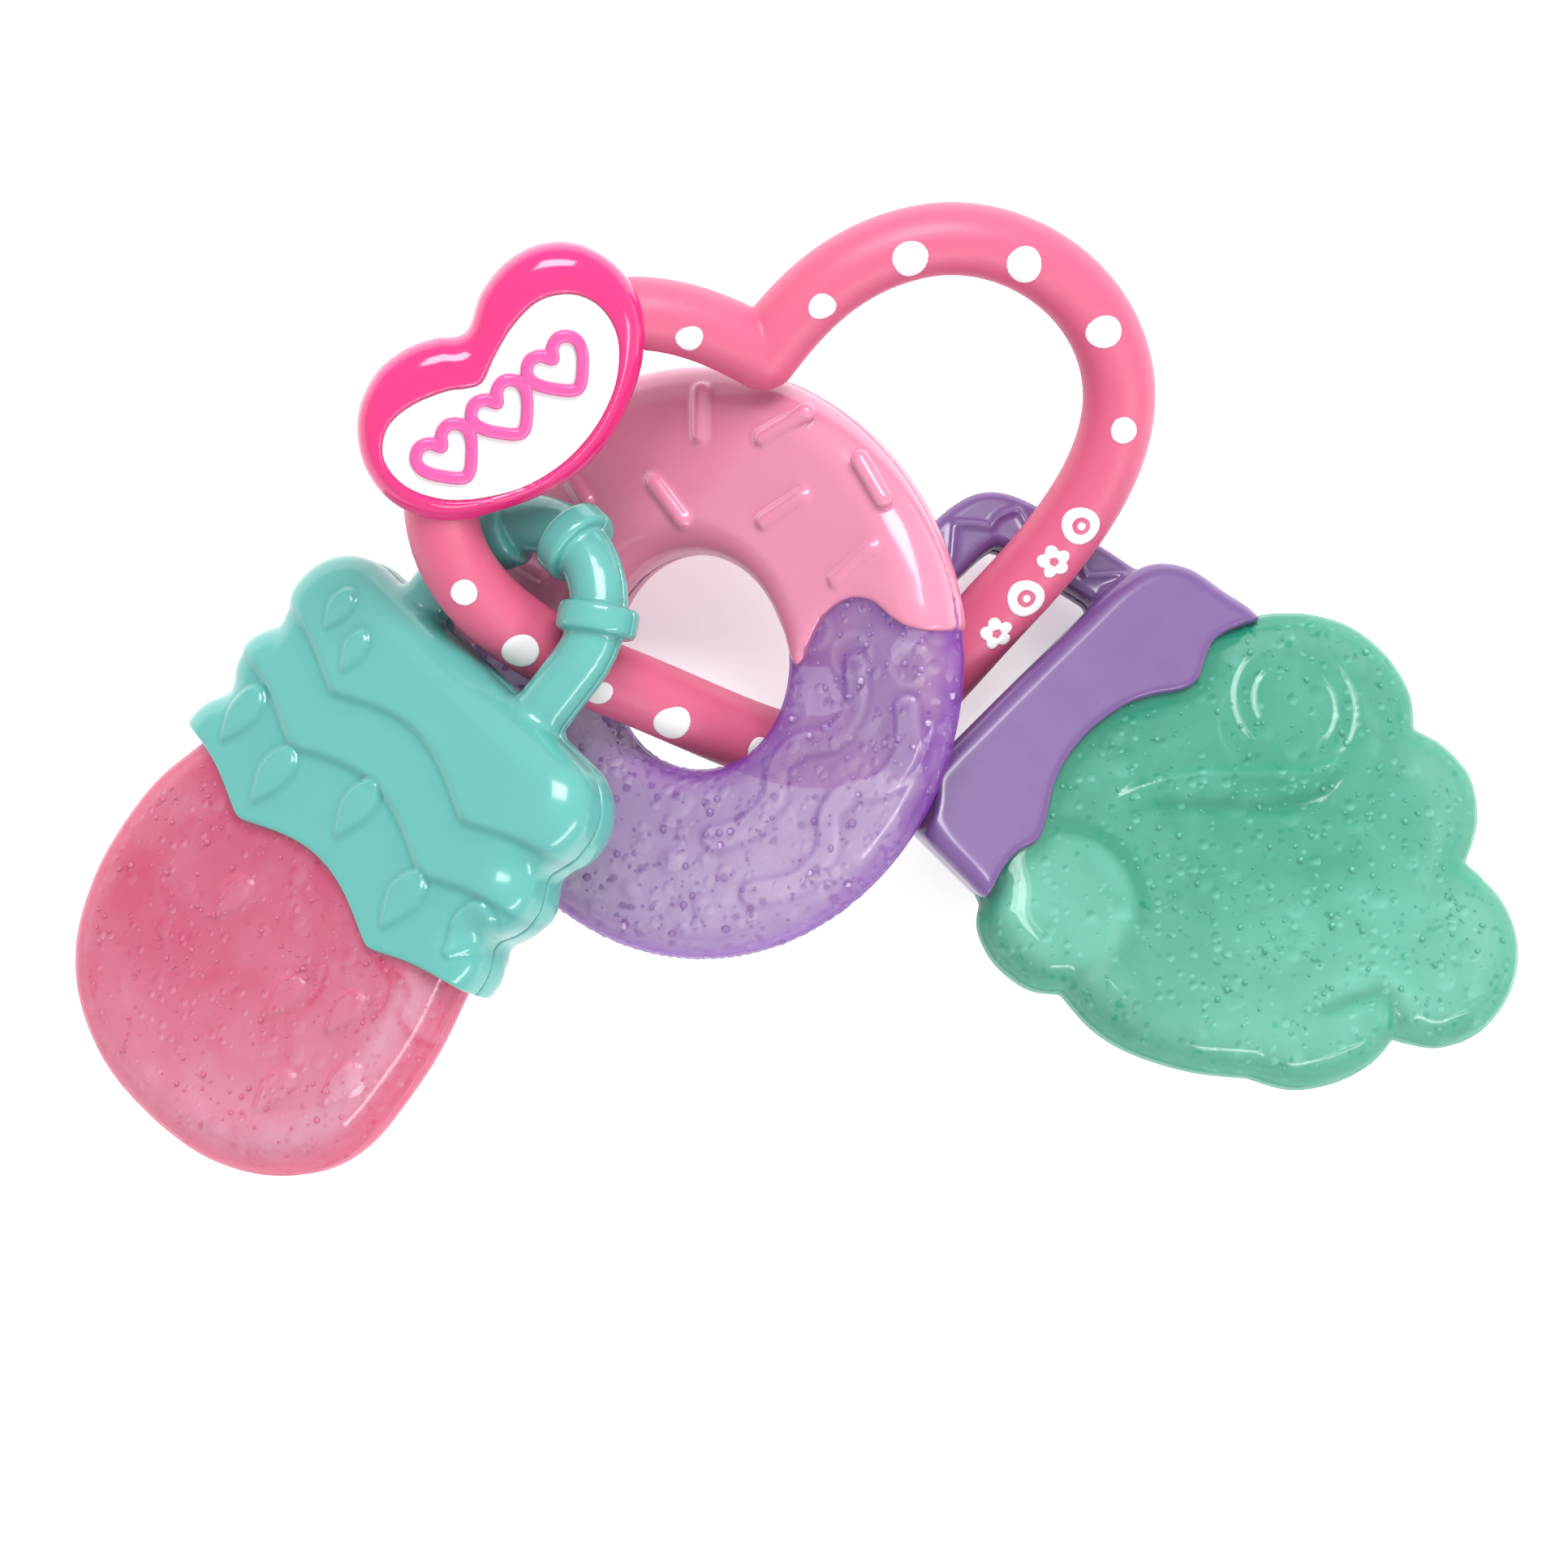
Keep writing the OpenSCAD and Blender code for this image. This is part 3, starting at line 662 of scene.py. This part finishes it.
def cupcake_cap():
    block = Block((-30, -42, -9.5), (33, 25, 9.5), step=0.27)
    px, py = block.px, block.py
    flat = tiers(px, py)
    relief, hollow_shade = np.zeros(px.shape), np.zeros(px.shape)
    for top in TIER_TOPS:
        above = py - scallops(px, top, TIER_DEPTH)
        relief += (0.5 * soft_step(above - 0.2, 0.7) * np.exp(-np.maximum(above, 0) / 5)
                   - 0.2 * ridge(above + 0.4, 0.9))
        # Painted shade: a dark line along each groove, fading out over about 2 mm below it.
        hollow_shade += (0.45 * ridge(above + 0.1, 0.5)
                   + 0.28 * ridge(np.minimum(above + 0.2, 0), 1.8) * (above < 0.5))
    seeds = np.full(px.shape, FAR)
    for x, y, turn, size in CUP_SEEDS:
        seeds = np.minimum(seeds, teardrop(px, py, x, y, turn, size))
    relief += 0.48 * soft_step(-seeds, 0.22) - 0.12 * ridge(seeds - 0.35, 0.35)
    # Painted shade round the foot of each seed, and faintly just inside its edge.
    hollow_shade = np.where(seeds < 0, 0.1 * ridge(seeds, 0.5), hollow_shade + 0.25 * ridge(seeds - 0.3, 0.4))
    cap = slab(flat, block.z, CUP_CAP_H + relief, 5.2)
    edge = scallops(px, HEM_TOP, HEM_DEPTH) - py
    cap = smooth_max(cap, edge, 0.5)
    cap = smooth_min(cap, teether_loop(block), 1.4)
    halves("cup_shell", block, cap, "cupcake", AQUA, ("cupcake_cap_front", "cupcake_cap_back"), 1 - hollow_shade)


CUP_GEL = curve_through([(-22, -20), (-23, -30), (-25.4, -40), (-25, -50), (-22.8, -57.4), (-19.4, -63),
                         (-14, -67.4), (-6.4, -70.3), (1.8, -71), (10.2, -70.2), (17.4, -67.6), (22.8, -64),
                         (26.6, -59.6), (28.5, -54.4), (28.7, -48), (28, -40), (25.6, -30), (24, -20)])
GEL_SEEDS = [(10.4, -46.8), (18.6, -42.8), (17.4, -56), (24.6, -49.4), (-4.2, -42.6)]
STRANDS = [[(17.7, -35.6), (20.7, -35.9), (22.2, -38.1), (22.1, -40.8)],
           [(20.2, -34.7), (23.8, -35.6), (24.6, -38.4), (28, -39.6), (29.6, -37.1)],
           [(12.6, -40.7), (13.7, -42.5), (13.7, -45.3)]]


def cupcake_gel():
    block = Block((-29, -74, -8), (32, -14, 8))
    px, py = block.px, block.py
    flat = outline(px, py, CUP_GEL)
    relief = 0.3 * ridge(flat + 4.5, 2.6)
    for x, y in GEL_SEEDS:
        relief += 0.45 * soft_step(-teardrop(px, py, x, y, turn=-4, size=0.92), 0.2)
    pad = slab(flat, block.z, CUP_GEL_H + relief, 5.6)
    pad = pad - 0.3 * ridge(block.z, 0.5) * ridge(np.minimum(flat, 0), 2.0)
    border = py - scallops(px, HEM_TOP, HEM_DEPTH)
    pad = smooth_max(pad, border - 2.4, 0.5)
    # The tone map: a painted shadow along the cap's hem and a painted highlight in a band 3 mm inside the
    # rim; besides that, lighter towards +x and -y, in a band 8 mm below the hem and in a disc near the cap's
    # corner, darker at the rim and along the strands.
    tone = (0.15 + 0.65 * soft_step(px * 0.6 - (py + 50) * 0.8 - 10, 14)
            + 0.16 * ridge(border + 8, 6))
    tone = (tone - 0.3 * ridge(border + 0.3, 0.8) - 0.45 * ridge(flat + 0.2, 0.9)
            + 0.25 * ridge(flat + 3.2, 1.2))
    tone = tone + 0.3 * soft_step(-disc(px, py, (28.3, -35.4), 4.2), 0.5)
    for strand in STRANDS:
        line = along_path(px, py, curve_through(strand, closed=False))[0]
        tone = tone - 0.4 * ridge(line, 0.45)
    gel_pad("cup_gel", block, pad, CUP_GEL_H + relief, "cupcake", 700, 0.5, (ROSE, ROSE_CORE, ROSE_AIR),
            ("cupcake_gel_front", "cupcake_gel_back", "cupcake_gel_fill"), tone)


# ---------- doughnut ----------
DONUT_R, HOLE_R, DONUT_H, DONUT_EDGE = 36.5, 13.2, 5.7, 5.2
GEL_INSET = 0.35
DRIPS = curve_through([(46, 9), (41, 5.6), (38.4, 4.2), (35.5, 3.5), (32.6, 3.9), (29.8, 5.2), (27.3, 7.1),
                       (24.7, 7.6), (22.2, 6.8), (20, 4.9), (18.5, 2.4), (17.5, 0.2), (16.4, -0.6),
                       (15.2, 0.2), (14.2, 2), (12.8, 4), (6, 7), (-6, 7), (-11.4, 3), (-14, -1),
                       (-17, -0.6), (-20, 2.4), (-24, 5), (-28, 3), (-31.4, 0.6), (-35, 2), (-38, 5.6),
                       (-46, 12), (-50, 50), (0, 56), (50, 50)], steps=5)
DONUT_BOX = (-39, -39, -8), (39, 39, 9)
SPRINKLES = [((3.2, 33.2), (3.2, 27.9)), ((12, 27.4), (18, 30.4)), ((25.6, 24.6), (28.8, 19.8)),
             ((-3.4, 22.2), (0.6, 17.6)), ((12.3, 17.2), (17.6, 20.2)), ((22.4, 9.9), (27.2, 13.8)),
             ((-17, 25), (-13, 20)), ((-25, 14), (-19.6, 11))]


def annulus(x, y, inset=0.0):
    """Signed distance to the doughnut's outline and hole, drawn in by inset."""
    radius = np.hypot(x, y)
    return np.maximum(radius - DONUT_R + inset, HOLE_R + inset - radius)


def donut_icing():
    block = Block(*DONUT_BOX)
    px, py = block.px, block.py
    flat, drip = annulus(px, py), outline(px, py, DRIPS)
    icing = slab(flat, block.z, DONUT_H + 0.15 * ridge(drip + 2.2, 1.8), DONUT_EDGE)
    icing = smooth_max(icing, drip, 1.1)
    for a, b in SPRINKLES:
        icing = smooth_min(icing, capsule(block, a, b, DONUT_H - 0.35, 1.2), 0.45)
    halves("icing_shell", block, icing, "donut", ICING, ("donut_icing_front", "donut_icing_back"))


SQUIGGLES = [
    curve_through([(24.7, -0.5), (24.6, -5.4), (21.6, -9.2), (16.6, -10.3), (13.8, -13), (13, -17),
                     (9, -20.4), (4.6, -21.6)], closed=False),
    curve_through([(31.7, -5.6), (31.6, -10.8), (28.6, -14.8), (23.8, -16), (21, -18.6), (20.6, -23),
                     (16.6, -27), (10.1, -28.4)], closed=False),
]
CIRCLES = [(18.5, 3.8, 2.4), (24, 0.6, 2.6), (32, -0.6, 2.4), (38, 0, 2.2)]
BEADS = [(-1.3, -24.5, 1.5), (-5, -21.5, 0.8), (3.5, -24.1, 0.8), (3, -30, 1.3), (-6.9, -27.9, 1.2),
         (-12, -30.5, 1.3), (0.5, -33, 1.2), (-17, -27, 1.1)]


def donut_gel():
    block = Block(*DONUT_BOX)
    px, py = block.px, block.py
    flat, drip = annulus(px, py), outline(px, py, DRIPS)
    inner = annulus(px, py, GEL_INSET)
    relief = np.zeros(px.shape)
    # The tone map: a painted shadow along and under the icing's edge; besides that, lighter round the middle
    # of the ring and towards -y, and darker at the rim.
    tone = (0.5 + 0.2 * ridge(np.hypot(px, py) - 27, 6) - 0.55 * ridge(flat + 0.2, 0.9)
            - 0.35 * ridge(drip + 4.2, 1.2) * (drip < 0))
    tone = tone - 0.3 * ridge(drip - 0.4, 1.4) + 0.15 * soft_step(-py - 16, 6)
    for path in SQUIGGLES:
        away = along_path(px, py, path)[0]
        relief += 0.42 * soft_step(1.35 - away, 0.28)
        # Painted shade in a dark line just outside each raised squiggle and a painted highlight just inside
        # its edge; the ends are darker.
        tone = (tone - 0.35 * ridge(away - 1.75, 0.35) + 0.3 * ridge(away - 1.15, 0.3)
                + 0.08 * ridge(away, 0.9))
        for end in (path[0], path[-1]):
            tone = tone - 0.35 * ridge(np.hypot(px - end[0], py - end[1]), 0.8)
    for x, y, r in CIRCLES:
        ring = ridge(disc(px, py, (x, y), r), 0.4)
        relief += 0.22 * ring
        tone = tone + 0.25 * ring
    for x, y, r in BEADS:
        ball = disc(px, py, (x, y), r)
        relief += 0.25 * soft_step(-ball, 0.3)
        tone = tone - 0.3 * ridge(ball, 0.3)
    half_t = DONUT_H - GEL_INSET + relief
    pad = slab(inner, block.z, half_t, 5.0)
    rough = 1 + 0.35 * np.sin(px * 5.1 + 2 * np.sin(py * 3.7)) * np.sin(py * 4.3)
    pad = pad - 0.45 * rough * ridge(block.z, 0.42) * (flat > -3)
    pad = smooth_max(pad, -drip - 4.5, 0.5)
    gel_pad("donut_gel", block, pad, half_t, "donut", 900, 0.75, (VIOLET, VIOLET_CORE, VIOLET_AIR),
            ("donut_gel_front", "donut_gel_back", "donut_gel_fill"), tone)


# ---------- ice cream ----------
ICE_CAP = curve_through([(-26.3, -15), (-26.4, -10), (-26, -4), (-24, 0), (-20, 2.4), (-8, 2.8), (8, 2.8),
                         (16, 2.7), (21.4, 1.4), (24.6, -2), (25.8, -7), (26.4, -13.5), (20, -17), (0, -17),
                         (-20, -17)])
CAP_LINE = curve_through([(-28, -14.6), (-26.1, -13.9), (-24, -13.2), (-21.7, -12.6), (-18.9, -12.4),
                          (-16, -13.1), (-13.2, -12), (-9.4, -9.8), (-5.4, -8.5), (-0.4, -8.1), (4.7, -8.8),
                          (8.5, -10.3), (12, -12.5), (14.5, -12.9), (17.2, -11.7), (19.8, -10.9),
                          (22.9, -11.6), (26.2, -13), (29, -14.4)], closed=False)
SWIRL_ARCS = [
    [(-24.4, -13.4), (-22.4, -9.6), (-18, -5.6), (-10, -3)],
    [(-10, -3), (0, -2.6), (10, -3)],
    [(10, -3), (18, -5.6), (23.6, -9.4), (29.4, -13.2)],
    [(29.4, -13.2), (33, -16.6), (35.8, -21.4), (36.5, -27.2), (35, -32.8), (32, -36.2)],
    [(32, -36.2), (33.2, -40.4), (32.6, -45.6), (29, -50), (24, -52.4)],
    [(24, -52.4), (24, -58.4), (21.4, -63.8), (16.6, -67.3), (10.2, -68.1), (4.8, -65.9), (1.4, -61)],
    [(1.4, -61), (-3.6, -61.2), (-8.8, -59.6), (-13, -56.6), (-15.8, -52)],
    [(-15.8, -52), (-20.6, -46.4), (-24.4, -39.6), (-25.8, -34), (-25.4, -28.4)],
    [(-25.4, -28.4), (-28, -25), (-28.6, -19.8), (-27, -15.4), (-24.4, -13.4)],
]
SWIRL = np.vstack([curve_through(arc, closed=False)[:-1] for arc in SWIRL_ARCS])


def above_cap_line(px, py):
    """How far a point lies above the scalloped lower edge of the cap."""
    return 0.92 * (py - np.interp(px, CAP_LINE[:, 0], CAP_LINE[:, 1]))


SWING_AT, SWING_AXIS = Vector((22.13, 6.67, 16.9)), Vector((-0.66209, -0.73479, -0.1474))
SWING_STOPS = (-12, -8, -4, 0, 1)  # degrees, from one end of the ice cream's swing to the other


def donut_as_it_swings(block):
    """Distance to the doughnut from the ice cream, at its least over the ice cream's swing."""
    nearest = np.full(block.shape, FAR)
    for degrees in SWING_STOPS:
        swing = (Matrix.Translation(SWING_AT) @ Matrix.Rotation(math.radians(degrees), 4, SWING_AXIS)
                 @ Matrix.Translation(-SWING_AT))
        m = np.array(PLACES["donut"].inverted() @ swing @ PLACES["icecream"])
        x, y, z = (m[k, 0] * block.x + m[k, 1] * block.y + m[k, 2] * block.z + m[k, 3] for k in range(3))
        nearest = np.minimum(nearest, slab(annulus(x, y), z, DONUT_H + 0.2, DONUT_EDGE))
    return nearest


ICE_CAP_H, ICE_GEL_H, ICE_CAP_LEFT = 6.6, 5.7, -26.2
LOOP_RIGHT = np.array([(18.4, -3), (16.8, 5), (15.4, 10.4), (14.2, 15.6), (12.4, 19), (9.4, 20.2),
                       (4, 20.4)])
ICE_LOOP = np.vstack([LOOP_RIGHT, LOOP_RIGHT[::-1] * (-1, 1)])


def icecream_cap():
    block = Block((-29, -18, -8), (34, 27, 8))
    px, py = block.px, block.py
    flat = outline(px, py, ICE_CAP)
    cap = slab(flat, block.z, ICE_CAP_H, 2.4)
    cap = smooth_max(cap, -above_cap_line(px, py), 0.5)
    cap = smooth_max(cap, 0.9 * (ICE_CAP_LEFT + 0.36 * np.maximum(5 - block.z, 0) - px), 1.0)
    away, run, left = along_path(px, py, curve_through(ICE_LOOP, closed=False))
    zigzag = 1.5 * (2 / math.pi) * np.arcsin(np.sin(2 * math.pi * run / 7.5))
    emboss = 0.45 * ridge(left - zigzag, 0.45)
    loop = np.hypot(np.maximum(away - 2.1, 0), np.maximum(np.abs(block.z) - 1.1 - emboss, 0)) - 1.5
    cap = smooth_min(cap, loop, 1.2)
    cap = smooth_max(cap, 0.35 - donut_as_it_swings(block), 0.4)
    halves("cone_shell", block, cap, "icecream", PURPLE, ("icecream_cap_front", "icecream_cap_back"))


def spiral(centre, outer_r, pitch):
    """A flat spiral that runs inwards."""
    turns = np.radians(np.linspace(-105, 520, 80))
    radii = outer_r - pitch * (turns - turns[0]) / (2 * math.pi)
    return np.column_stack([centre[0] + radii * np.cos(turns), centre[1] + radii * np.sin(turns)])


# The raised lines and creases of the gel: a spiral, an S below it with a hollow beside it, the valley
# between two lobes, a soft fold, and the round lobe beside the cap.
SPIRAL = spiral((21.4, -23.4), 8.9, 2.6)
S_RIDGE = curve_through([(19, -32.1), (15.2, -30), (9.5, -24.8), (5.7, -21.3), (1.2, -18.5), (-2.4, -17),
                         (-6.2, -16.3)], closed=False)
S_SHADE = curve_through([(23, -33.4), (19.5, -33.9), (15.4, -33.4), (11.6, -32), (7.8, -29.2), (4.2, -25.5),
                         (-0.1, -21.2), (-3.9, -19.1)], closed=False)
VALLEY = curve_through([(-2.3, -61), (0.2, -60.4), (1.9, -59.2), (2.5, -56.5), (-0.1, -54.8), (-5.3, -52.5),
                        (-9.8, -49.1)], closed=False)
FOLD = curve_through([(0.1, -39.1), (3.9, -41.2), (7.9, -42.4), (11.3, -44.1), (14.5, -47.4), (15.8, -50.4),
                      (18.7, -53.7), (23, -55)], closed=False)
LOBE, LOBE_R = (-18.6, -20.9), 8.8


def icecream_gel():
    block = Block((-32, -72, -7.5), (40, -2, 7.5))
    px, py = block.px, block.py
    flat = outline(px, py, SWIRL)
    ridges = along_path(px, py, SPIRAL)[0]
    s_away, s_run, s_left = along_path(px, py, S_RIDGE)
    shade_line, shade_run, _ = along_path(px, py, S_SHADE)
    valley, valley_run, valley_left = along_path(px, py, VALLEY)
    s_fade = np.clip((29.5 - s_run) / 11, 0, 1)
    shade_fade = np.clip(shade_run / 6, 0, 1) * np.clip((35 - shade_run) / 8, 0, 1)
    valley_fade = np.clip((20 - valley_run) / 8, 0, 1)
    fold, _, fold_left = along_path(px, py, FOLD)
    ball = disc(px, py, LOBE, LOBE_R)
    relief = (0.12 * ridge(ridges, 0.45)
              + s_fade * (0.42 * ridge(s_away, 0.7) + 0.3 * ridge(s_left - 2, 1.4)))
    relief = relief - 0.3 * ridge(shade_line, 1.0) * shade_fade
    relief = relief + valley_fade * (0.25 * ridge(valley - 2.2, 1.3) - 0.45 * ridge(valley, 0.9))
    relief = relief - 0.25 * soft_step(-fold_left, 0.6) * ridge(fold, 5)
    relief = relief + 0.26 * soft_step(-ball, 1.5)
    pad = slab(flat, block.z, ICE_GEL_H + relief, 5.0)
    pad = pad - 0.25 * ridge(block.z, 0.45) * (flat > -3)
    border = above_cap_line(px, py)
    beside_lobe = soft_step(px + 0.9 * (py - LOBE[1]) - LOBE[0], 3)
    # The tone map: a painted shadow under the cap's edge and beside the S, painted shade in the valley's
    # crease, and painted highlights along the S and on one shoulder of the valley; besides that, lighter
    # towards -y, paler beside the fold and in the lobe, and darker at the rim, in a band round the lobe's
    # upper right and in the middle.
    tone = 0.32 + 0.24 * soft_step(-py - 44, 7) + 0.12 * soft_step(-fold_left, 1.2) * ridge(fold, 6)
    tone = tone - 0.5 * ridge(border + 0.6, 1.1) - 0.4 * ridge(flat + 0.2, 0.9)
    tone = tone - 0.3 * ridge(shade_line, 0.9) * shade_fade
    tone = tone - 0.6 * ridge(ball - 0.9, 1.0) * beside_lobe + 0.35 * soft_step(-ball - 0.5, 0.6)
    tone = tone + valley_fade * (0.3 * ridge(valley_left + 2.5, 1.8) * ridge(valley, 4)
                                 - 0.5 * ridge(valley, 0.7))
    tone = tone + 0.12 * ridge(s_away, 0.6) - 0.15 * ridge(px - 8, 12) * ridge(py + 33, 9)
    gel_pad("swirl_gel", block, pad, ICE_GEL_H + relief, "icecream", 900, 0.55,
            (GREEN, GREEN_CORE, GREEN_AIR), ("icecream_gel_front", "icecream_gel_back", "icecream_gel_fill"),
            tone, clear=(*LOBE, LOBE_R - 0.4))


# ---------- floor, light and camera, in metres ----------
MID_H = 0.02  # the middle of the toy, above the floor
SENSOR_W, VIEW_W, CAMERA_H = 36, 0.1932, 1.6


def floor():
    mesh = bpy.data.meshes.new("floor")
    mesh.from_pydata([(-4, -4, 0), (4, -4, 0), (4, 4, 0), (-4, 4, 0)], [], [(0, 1, 2, 3)])
    material = bpy.data.materials.new("floor_white")
    material.use_nodes = True
    bsdf = material.node_tree.nodes["Principled BSDF"]
    bsdf.inputs["Base Color"].default_value = (0.93, 0.93, 0.93, 1)
    bsdf.inputs["Roughness"].default_value = 0.9
    bsdf.inputs["Specular IOR Level"].default_value = 0.0
    bsdf.inputs["Emission Color"].default_value = (1, 1, 1, 1)
    bsdf.inputs["Emission Strength"].default_value = 0.3
    mesh.materials.append(material)
    plane = bpy.data.objects.new("floor", mesh)
    plane.location.z = -0.0003
    bpy.context.scene.collection.objects.link(plane)


def softbox(name, place, size, power):
    light = bpy.data.lights.new(name, "AREA")
    light.shape = "RECTANGLE"
    light.size, light.size_y = size
    light.energy = power
    lamp = bpy.data.objects.new(name, light)
    lamp.location = place
    lamp.rotation_euler = (Vector((0, 0, MID_H)) - Vector(place)).to_track_quat("-Z", "Y").to_euler()
    bpy.context.scene.collection.objects.link(lamp)


def studio():
    world = bpy.data.worlds.new("studio")
    world.use_nodes = True
    world.node_tree.nodes["Background"].inputs["Color"].default_value = (1, 1, 1, 1)
    world.node_tree.nodes["Background"].inputs["Strength"].default_value = 1.08
    bpy.context.scene.world = world
    softbox("key", (0.1, 0.55, 0.8), (0.6, 0.4), 10.0)
    softbox("strip", (0.45, -0.55, 0.5), (0.8, 0.1), 3.2)
    bpy.context.scene.view_settings.view_transform = "Standard"
    bpy.context.scene.view_settings.look = "None"


def camera():
    data = bpy.data.cameras.new("camera")
    data.sensor_width = SENSOR_W
    data.lens = SENSOR_W * (CAMERA_H - MID_H) / VIEW_W
    data.clip_start, data.clip_end = 0.05, 20
    eye = bpy.data.objects.new("camera", data)
    eye.location = (-0.0013, -0.0118, CAMERA_H)
    bpy.context.scene.collection.objects.link(eye)
    bpy.context.scene.camera = eye


heart_tube()
ring_prints()
badge()
badge_hearts()
cupcake_cap()
cupcake_gel()
donut_icing()
donut_gel()
icecream_cap()
icecream_gel()
floor()
studio()
camera()
